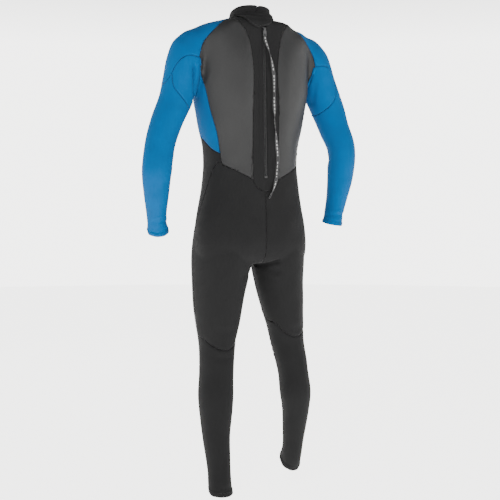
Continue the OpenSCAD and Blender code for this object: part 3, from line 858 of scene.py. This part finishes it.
def rubber_grid(name, colour):
    """Matt rubber with a fine pebbled grain, a little worn."""
    m = Nodes(name, colour, 0.62, Specular_IOR_Level=0.25)
    wear = m.texture("Noise", 18.0)
    m.tones(wear, 0, 1, 0.85, 1.3)
    m.rough(wear, 0.3, 0.7, 0.5, 0.72)
    m.bump(m.texture("Voronoi", 260.0), 0.4, 0.0005)
    return m.mat


def twill(name, colour, scale=700.0, turn=(0, 0.79, 0)):
    """Woven tape, thread or pile: slanting lines, dull."""
    m = Nodes(name, colour, 0.75, Sheen_Weight=0.1, Specular_IOR_Level=0.3)
    lines = m.texture("Wave", scale, turn=turn)
    m.tones(lines, 0, 1, 0.7, 1.5)
    m.rough(m.texture("Noise", 60.0), 0.3, 0.7, 0.68, 0.85)
    m.bump(lines, 0.5, 0.0003)
    return m.mat


def hard(name, colour, rough, metal=0.0):
    """Enamelled metal or moulded plastic with faint scuffs."""
    m = Nodes(name, colour, rough, Metallic=metal, Specular_IOR_Level=0.5)
    scuff = m.texture("Noise", 240.0, detail=6)
    m.tones(scuff, 0.45, 0.75, 1, 1.9)
    m.rough(scuff, 0.3, 0.7, rough * 0.8, rough * 1.3)
    m.bump(scuff, 0.15, 0.0002)
    return m.mat


def webbing(name):
    """Black webbing with a pale, broken woven stripe down each face."""
    colour, pale = (0.009, 0.009, 0.01), (0.3, 0.3, 0.3)
    m = Nodes(name, colour, 0.7, Sheen_Weight=0.1)
    uv = m.add("ShaderNodeUVMap", uv_map="webbing").outputs["UV"]
    parts = m.add("ShaderNodeSeparateXYZ")
    m.link(uv, parts.inputs[0])
    along, across = parts.outputs[0], parts.outputs[1]
    dashes = m.maths("SINE", m.times(along, 620.0), 0.0)
    runs = m.maths("SINE", m.times(along, 105.0), 0.0)
    marks = m.times(m.maths("GREATER_THAN", dashes, -0.35), m.maths("GREATER_THAN", runs, -0.8))
    band = m.maths("LESS_THAN", m.maths("ABSOLUTE", across, 0.0), 0.0012)
    m.link(m.mixed(m.times(marks, band), colour, pale), m.shader.inputs["Base Color"])
    weave = m.add("ShaderNodeTexWave", bands_direction="DIAGONAL")
    weave.inputs["Scale"].default_value = 320.0
    m.link(uv, weave.inputs["Vector"])
    m.bump(weave.outputs["Fac"], 0.5, 0.0003)
    return m.mat


BLACK, DARK = (0.006, 0.006, 0.0065), (0.015, 0.015, 0.016)
MATS = {
    "charcoal": knit("charcoal_knit", (0.0085, 0.0085, 0.0088)),
    "blue": knit("blue_knit", (0.0, 0.057, 0.165)),
    "grey": mesh_skin("grey_smooth_skin", (0.0115, 0.0116, 0.012)),
    "knee": rubber_grid("knee_rubber", (0.009, 0.009, 0.0095)),
    "thread_dark": twill("dark_thread", BLACK, 1500.0),
    "thread_blue": twill("blue_thread", (0.0, 0.03, 0.085), 1500.0),
    "tape": twill("zip_tape_twill", BLACK),
    "teeth": hard("zip_teeth_plastic", BLACK, 0.55),
    "metal": hard("zip_enamel", DARK, 0.36, 0.4),
    "pull": hard("pull_plastic", DARK, 0.45),
    "pile": twill("hook_pile", (0.012, 0.012, 0.012), 900.0, (0.4, 0.3, 0.2)),
    "webbing": webbing("leash_webbing")}
# What the CAD pieces that stay in sight are made of.
CAD_LOOKS = {"zip_tape_left": "tape", "zip_tape_right": "tape", "zip_top_stops": "teeth",
             "zip_bottom_stop": "teeth", "zip_slider": "metal", "zip_pull": "pull",
             "collar_hook_patch": "pile", "collar_loop_patch": "pile"}


# ---- camera and stage
def aimed(name, data, place, at):
    obj = new_piece(name, data)
    obj.location = place
    obj.rotation_euler = (Vector((0, 0, at)) - obj.location).to_track_quat("-Z", "Y").to_euler()
    return obj


def make_camera():
    cam = aimed("camera", bpy.data.cameras.new("camera"), (1.198, 2.478, -0.594), -0.6805)
    cam.data.sensor_width, cam.data.lens = 36, 67.83
    bpy.context.scene.camera = cam


WARM_WHITE = (1.0, 0.995, 0.98, 1)
LIGHTS = [("key", (1.8, 2.4, 1.8), 1.6, 52), ("fill", (-2.4, 2.0, 0.4), 2.4, 5),
          ("front", (0.4, -3.0, 0.8), 2.6, 12)]     # place, size, power


def make_stage():
    """A pale floor that shines a little, a bright band round the horizon, soft lights."""
    n, radius = 96, 9.0
    a = angles(n)
    mesh = bpy.data.meshes.new("floor")
    rim = [(radius * math.cos(x), radius * math.sin(x), FLOOR_Z * MM) for x in a]
    mesh.from_pydata(rim, [], [list(range(n))])
    floor = new_piece("floor", mesh)
    m = Nodes("floor_white", (0.86, 0.86, 0.85), 0.7)
    m.tones(m.texture("Noise", 3.0), 0, 1, 0.988, 1.012)
    m.shader.inputs["Emission Color"].default_value = WARM_WHITE
    m.shader.inputs["Emission Strength"].default_value = 3.5
    floor.data.materials.append(m.mat)
    world = bpy.data.worlds.new("studio")
    bpy.context.scene.world = world
    world.use_nodes = True
    tree = world.node_tree
    sky, coord = tree.nodes["Background"], tree.nodes.new("ShaderNodeTexCoord")
    parts, height = tree.nodes.new("ShaderNodeSeparateXYZ"), tree.nodes.new("ShaderNodeMath")
    band = tree.nodes.new("ShaderNodeMapRange")
    height.operation = "ABSOLUTE"
    for key, x in zip(RANGE, (0.18, 0.34, 4.6, 0.25)):
        band.inputs[key].default_value = x
    sky.inputs[0].default_value = WARM_WHITE
    tree.links.new(coord.outputs["Generated"], parts.inputs[0])
    tree.links.new(parts.outputs[2], height.inputs[0])
    tree.links.new(height.outputs[0], band.inputs["Value"])
    tree.links.new(band.outputs["Result"], sky.inputs[1])
    for name, place, size, power in LIGHTS:
        light = bpy.data.lights.new(name, "AREA")
        light.energy, light.size = power, size
        aimed(name, light, place, -0.6)


# ---- leash
def make_leash():
    """Flat webbing that twists as it hangs, made thicker over its last 20 mm to stand for its end
    folded back.
    """
    path = smooth_rows(LEASH, 3)
    s = lengths_along(path)
    d = units(np.gradient(path, axis=0))
    across = units(np.cross([0, 1, 0], -d))
    out = np.cross(-d, across)
    turn = (1.15 * np.sin(2 * np.pi * s / 210 + 0.3) + 0.25 * np.sin(s / 17.0)) * ease(6, 60, s)
    wide = across * np.cos(turn)[:, None] + out * np.sin(turn)[:, None]
    thin = out * np.cos(turn)[:, None] - across * np.sin(turn)[:, None]
    end = s[-1]
    half = LEASH_W / 2 - 1.2 * ease(end - 4, end, s)
    thick = (LEASH_T / 2 * (1 + 0.75 * ease(end - 22, end - 18, s))
             * (1 - 0.4 * ease(end - 3, end, s)))
    side = [(-1, 0), (-0.96, 0.7), (-0.8, 1), (-0.3, 1), (0.3, 1), (0.8, 1), (0.96, 0.7)]
    section = np.array(side + [(-x, -y) for x, y in side])
    rings = np.stack([path + wide * (half * a)[:, None] + thin * (thick * b)[:, None]
                      for a, b in section], axis=1)
    v, t = loft(rings)
    leash = finished("zip_leash_webbing", (v, t), "webbing", "leash", "zip_leash")
    uv = leash.data.uv_layers.new(name="webbing")
    n = len(section)
    spot = np.zeros((len(v), 2))
    spot[:len(path) * n] = np.stack([np.repeat(s, n), np.tile(section[:, 0] * LEASH_W / 2,
                                                              len(path))], 1)
    loops = np.zeros(len(leash.data.loops), int)
    leash.data.loops.foreach_get("vertex_index", loops)
    uv.data.foreach_set("uv", (spot[loops] * MM).ravel())


# ---- panels, threads, trim
BLUE = ("shoulder", "sleeve", "gusset", "side_panel", "wrist_hem")


def look_of(name):
    if name.startswith(BLUE):
        return "blue", "knit_blue"
    if name.startswith(("back_panel", "chest_panel")):
        return "grey", "smooth_skin_grey"
    if name.startswith("knee_pad"):
        return "knee", "knee_rubber"
    return "charcoal", "knit_charcoal"


def panel_skin(skin, number, n):
    """A panel's faces with a rolled strip round its edge, so that seams lie in a dip."""
    t = skin.t[skin.panel == number]
    used, t = np.unique(t, return_inverse=True)
    t = t.reshape(-1, 3)
    v, n = skin.v[used].copy(), n[used]
    e = half_edges(t)
    _, index, count = np.unique(np.sort(e, axis=1), axis=0, return_inverse=True,
                                return_counts=True)
    edge = e[count[index.ravel()] == 1]
    inward = np.zeros_like(v)
    way = units(v[edge[:, 1]] - v[edge[:, 0]])
    side = np.cross(n[edge[:, 0]], way)
    for k in range(3):
        inward[:, k] = (np.bincount(edge[:, 0], side[:, k], len(v))
                        + np.bincount(edge[:, 1], side[:, k], len(v)))
    rim = np.unique(edge)
    outer = v[rim] - n[rim] * SEAM_DEPTH
    v[rim] += units(inward[rim]) * SEAM_HALF
    new = np.full(len(v), -1)
    new[rim] = len(v) + np.arange(len(rim))
    a, b = edge.T
    strip = np.concatenate([np.stack([b, a, new[a]], 1), np.stack([b, new[a], new[b]], 1)])
    return np.concatenate([v, outer]), np.concatenate([t, strip])


def make_panels(skin):
    n = normals(skin.v, skin.t)
    for number, name in enumerate(skin.names):
        if name in ("rest", "gone"):
            continue
        v, t = panel_skin(skin, number, n)
        if name.startswith("knee_pad"):
            v = emboss(v, t)
        look, slot = look_of(name)
        piece = finished(name + "_neoprene", (v, t), look, "suit", name)
        thickened(piece, WALL)


def emboss(v, t):
    """Raised bars across the knee, each a shallow chevron."""
    n = normals(v, t)
    x = np.abs(v[:, 0]) - np.abs(v[:, 0]).mean()
    wave = np.sin((v[:, 2] + 0.45 * np.abs(x)) * 2 * np.pi / 17)
    fade = ease(KNEE_LOW, KNEE_LOW + 16, v[:, 2]) * ease(KNEE_TOP, KNEE_TOP - 16, v[:, 2])
    fade = fade * ease(46, 34, np.abs(x))
    return v + n * (0.9 * fade * np.clip(1.6 * wave, -1, 1))[:, None]


def chains(edges):
    """Edges joined end to end into lines, split where three or more meet."""
    ends = {}
    for a, b in edges.tolist():
        ends.setdefault(a, []).append(b)
        ends.setdefault(b, []).append(a)
    left = {tuple(sorted(e)) for e in edges.tolist()}
    starts = [k for k in sorted(ends) if len(ends[k]) != 2] + sorted(ends)
    lines = []
    for start in starts:
        for nxt in ends[start]:
            if tuple(sorted((start, nxt))) not in left:
                continue
            line = [start, nxt]
            left.discard(tuple(sorted((start, nxt))))
            while len(ends[line[-1]]) == 2:
                ahead = [k for k in ends[line[-1]] if tuple(sorted((line[-1], k))) in left]
                if not ahead:
                    break
                left.discard(tuple(sorted((line[-1], ahead[0]))))
                line.append(ahead[0])
            lines.append(line)
    return lines


def tube(path, radius, n=5):
    """Vertices and triangles of a thin round tube along a path."""
    d = units(np.gradient(path, axis=0))
    side = units(np.cross(d, np.where(np.abs(d[:, 2:3]) < 0.9, [[0, 0, 1.0]], [[1.0, 0, 0]])))
    up = np.cross(d, side)
    a = angles(n)
    rings = (path[:, None] + radius * (side[:, None] * np.cos(a)[:, None]
                                       + up[:, None] * np.sin(a)[:, None]))
    return loft(rings)


def zigzag(line, n, half, pitch, down):
    """A stitch path crossing back and forth over a seam, down below the line."""
    s = lengths_along(line)
    count = int(s[-1] / (pitch / 2))
    if count < 8:
        return None
    at = np.linspace(1, s[-1] - 1, count)
    p = np.stack([np.interp(at, s, line[:, k]) for k in range(3)], 1)
    m = units(np.stack([np.interp(at, s, n[:, k]) for k in range(3)], 1))
    cross = units(np.cross(m, np.gradient(p, axis=0)))
    swing = np.where(np.arange(count) % 2, half, -half)[:, None]
    swing = swing * ease(0, 9, np.minimum(at, s[-1] - at))[:, None]
    return p + cross * swing - m * down


def make_threads(skin):
    n = normals(skin.v, skin.t)
    edges, sides = seam_edges(skin)
    blue = np.array([i for i, name in enumerate(skin.names) if name.startswith(BLUE)])
    closed = sides[:, 1] >= 0
    both = np.isin(sides, blue).all(1) & closed
    for name, pick, look, slot in (
            ("seam_thread_blue", both, "thread_blue", "knit_blue"),
            ("seam_thread_dark", closed & ~both, "thread_dark", "knit_charcoal")):
        parts = []
        for line in chains(edges[pick]):
            path = zigzag(smoothed_line(skin.v[line]), n[line], *STITCH)
            if path is not None:
                parts.append(tube(path, THREAD, 4))
        finished(name, joined(parts), look, "suit")


def make_hem(name, stations, side, turn, h):
    """A turned band at a wrist or ankle, rolled at its end, with small ripples."""
    rows = smooth_rows(stations, STATION_STEP)
    d, across, back = (x[-1] for x in limb_frame(rows))
    profile = [(-2.4, -h - 2.5), (-1.6, -h - 1), (0.45, -h + 0.6), (1.0, -h + 2.0),
               (0.8, -h + 5), (0.75, -4), (0.6, -1.6), (0.1, -0.4), (-0.9, 0.1), (-2.0, -0.2),
               (-2.7, -1.2), (-2.9, -3), (-2.9, -h - 2.5)]
    a = angles(120)
    rings = []
    for out, along in profile:
        row = rows[-1].copy()
        row[:3] += d * along
        ripple = 0.45 * np.sin(5 * a + 1.1 + 0.25 * along) + 0.35 * np.sin(8 * a + 0.3 * along)
        wave = d * (0.5 * np.sin(3 * a + 0.8))[:, None] * (along > -2)
        rings.append(limb_ring(row, across, back, turn, a, out + ripple) + wave)
    rings = np.array(rings) * [side, 1, 1]
    m, n = rings.shape[:2]
    i, j = np.meshgrid(np.arange(m), np.arange(n), indexing="ij")
    i2, j2 = (i + 1) % m, (j + 1) % n
    quads = np.stack([i * n + j, i * n + j2, i2 * n + j2, i2 * n + j], axis=2).reshape(-1, 4)
    if side < 0:
        quads = quads[:, ::-1]
    rings = slanted(rings.reshape(-1, 3))
    look, slot = look_of(name)
    piece = finished(name + "_turned", (rings, quads), look, "suit", name)
    row = rows[-1].copy()
    row[:3] += d * (-h + 3.2)
    flip = [side, 1, 1]
    ring = limb_ring(row, across, back, turn, np.linspace(0, 2 * np.pi, 260), 1.0) * flip
    path = slanted(zigzag(ring, units(ring - row[:3] * flip), *HEM_STITCH))
    thread = "thread_blue" if look == "blue" else "thread_dark"
    finished(name + "_stitch", tube(path, THREAD, 4), thread, "suit")


def make_flap(v, t):
    """The neck flap: a tongue over the collar's back, lifted a little at its free end."""
    skin = Skin(v.copy(), t.copy())
    edge = np.concatenate([smooth_rows(FLAP[:5], 5), smooth_rows(FLAP[4:9], 5),
                           smooth_rows(FLAP[8:], 5)])
    skin.carve("flap", outline(edge), plane(1, 10, 1))
    tidy_seams(skin)
    n = normals(skin.v, skin.t)
    number = skin.names.index("flap")
    low = ease(-1, -9, skin.v[:, 2])
    tip = ease(5, 40, skin.v[:, 0]) * ease(-8, -30, skin.v[:, 2])
    lift = FLAP_LIFT + FLAP_LOW_LIFT * low + FLAP_TIP_LIFT * tip
    over_slider = ease(17, 7, np.abs(skin.v[:, 0])) * ease(-30, -44, skin.v[:, 2])
    skin.v = skin.v + n * (lift + SLIDER_LIFT * over_slider)[:, None]
    fv, ft = panel_skin(skin, number, n)
    piece = finished("collar_flap_neoprene", (fv, ft), "charcoal", "flap",
                     "collar_flap")
    thickened(piece, FLAP_WALL)
    skin.only(skin.panel == number)
    edges, _ = seam_edges(skin)
    parts = []
    for line in chains(edges):
        p = skin.v[line]
        inner = units(np.cross(n[line], np.gradient(p, axis=0)))
        mid = skin.v[np.unique(skin.t)].mean(0)
        sign = np.sign(((mid - p) * inner).sum(1).mean())
        path = zigzag(p + sign * inner * 4, n[line], *FLAP_STITCH)
        if path is not None and path[:, 2].min() < -12:
            path = path[path[:, 2] < -14]
            parts.append(tube(path, 0.28, 4))
    finished("collar_flap_stitch", joined(parts), "thread_dark", "flap")


def make_collar_binding(skin):
    """A soft rolled edge round the collar's top."""
    edges, sides = seam_edges(skin)
    collar = skin.names.index("collar")
    top = (sides[:, 1] < 0) & (sides[:, 0] == collar)
    n = normals(skin.v, skin.t)
    parts = []
    for line in chains(edges[top]):
        p = skin.v[line]
        if p[:, 2].max() < 0 or np.ptp(p[:, 0]) < 20:
            continue
        parts.append(tube(smoothed_line(p - n[line] * 1.5), 2.0, 10))
    finished("collar_binding", joined(parts), "charcoal", "suit")


def smoothed_line(p):
    for _ in range(8):
        p = np.concatenate([p[:1], p[1:-1] + 0.5 * ((p[:-2] + p[2:]) / 2 - p[1:-1]), p[-1:]])
    return p


def make_teeth():
    """Moulded teeth: a waisted body clamped on the tape and a rounded head."""
    half = [(0.7, 0.5), (0.95, 0.95), (1.5, 1.0), (1.75, 0.62), (2.05, 0.62), (2.3, 1.0),
            (3.0, 1.0), (3.2, 0.8)]
    shape = np.array([(x, -z) for x, z in half] + half[::-1])
    mx, mz = shape.mean(0)
    levels = [(-3.3, 0.9), (-3.1, 1.0), (-1.3, 1.0), (-1.0, 0.88)]
    one = np.array([[(mx + (x - mx) * k, y, mz + (z - mz) * k) for x, z in shape]
                    for y, k in levels])
    length = math.hypot(ZIP_TOP[1] - ZIP_BOTTOM[1], ZIP_BOTTOM[0] - ZIP_TOP[0])
    for tag, side in SIDES:
        parts = []
        for i in range(int((length - 17) / TOOTH_PITCH)):
            shift = -8 - i * TOOTH_PITCH - (TOOTH_PITCH / 2 if side < 0 else 0)
            v, t = loft(one + [0, 0, shift])
            parts.append((on_zip(v * [side, 1, 1]), t if side < 0 else t[:, ::-1]))
        name = "zip_teeth_%s_moulded" % tag
        finished(name, joined(parts), "teeth", "suit", "zip_teeth_" + tag, False)


def make_backing():
    """The soft guard behind the zip, from the collar's seam to below the bottom stop."""
    rows = smooth_rows(TORSO, 4)[::-1]
    z = np.linspace(-472, -20, 96)
    half, back = (np.interp(z, rows[:, 0], rows[:, k]) for k in (1, 2))
    y = torso_y(0 * z, z, half, back) - 8.2 + 0.35 * np.sin(z / 23)
    a = angles(40)
    flat_x, flat_y = bent(np.cos(a), 0.3) * 24, bent(np.sin(a), 0.6) * 1.3
    ends = 1 - 0.12 * (ease(-466, -472, z) + ease(-27, -20, z))
    rings = np.stack([4 + flat_x * ends[:, None], y[:, None] + flat_y, z[:, None] + 0 * a], axis=2)
    v, t = loft(rings)
    piece = finished("zip_backing_guard", (v, t), "charcoal", "suit",
                     "zip_backing")


def dress_cad_nodes():
    for obj in bpy.context.scene.objects:
        key = obj.name.split(".")[0]
        if obj.type == "MESH" and key in CAD_LOOKS:
            look = MATS[CAD_LOOKS[key]]
            for slot in obj.material_slots:
                slot.material = look
            if not obj.material_slots:
                obj.data.materials.append(look)


# ---- build
make_camera()
make_leash()
make_stage()
form = body_form()
make_flap(*form)
suit = Skin(*form)
cut_panels(suit)
tidy_seams(suit)
make_panels(suit)
make_threads(suit)
make_collar_binding(suit)
for hem, stations, side, turn, height, _ in LIMBS:
    make_hem(hem, stations, side, turn, height)
make_teeth()
make_backing()
dress_cad_nodes()
